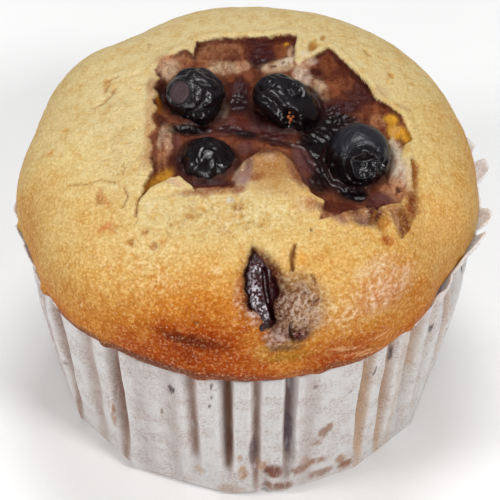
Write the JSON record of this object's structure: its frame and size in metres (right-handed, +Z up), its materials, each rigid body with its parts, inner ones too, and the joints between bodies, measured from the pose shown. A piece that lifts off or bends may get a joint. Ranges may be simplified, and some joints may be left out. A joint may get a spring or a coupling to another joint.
{
  "type": "muffin",
  "caption": "Round baked muffin with a domed golden crown, dark berries sunk in its torn top, in a pleated paper case; stands on its flat base.",
  "frame": {"origin": "centre of the paper case's flat base, on the surface it stands on", "axes": "+Z up, -Y towards the browned front with the burst berry, +X to the right seen from the front"},
  "size_m": [0.0735, 0.0724, 0.0575],
  "materials": {
    "crust": "baked crust, pale cream on top and browned at the front lip",
    "paper": "thin white baking paper, grease-stained in its folds",
    "berry_skin": "wrinkled baked skin, from waxy to glossy",
    "berry_flesh": "wet dark juice and burst flesh"
  },
  "bodies": {
    "root": {"cake": "crust", "paper_case": "paper", "berry_left": "berry_skin", "berry_middle": "berry_skin", "berry_front": "berry_skin", "berry_right": "berry_skin", "berry_burst": "berry_flesh"}
  },
  "joints": []
}
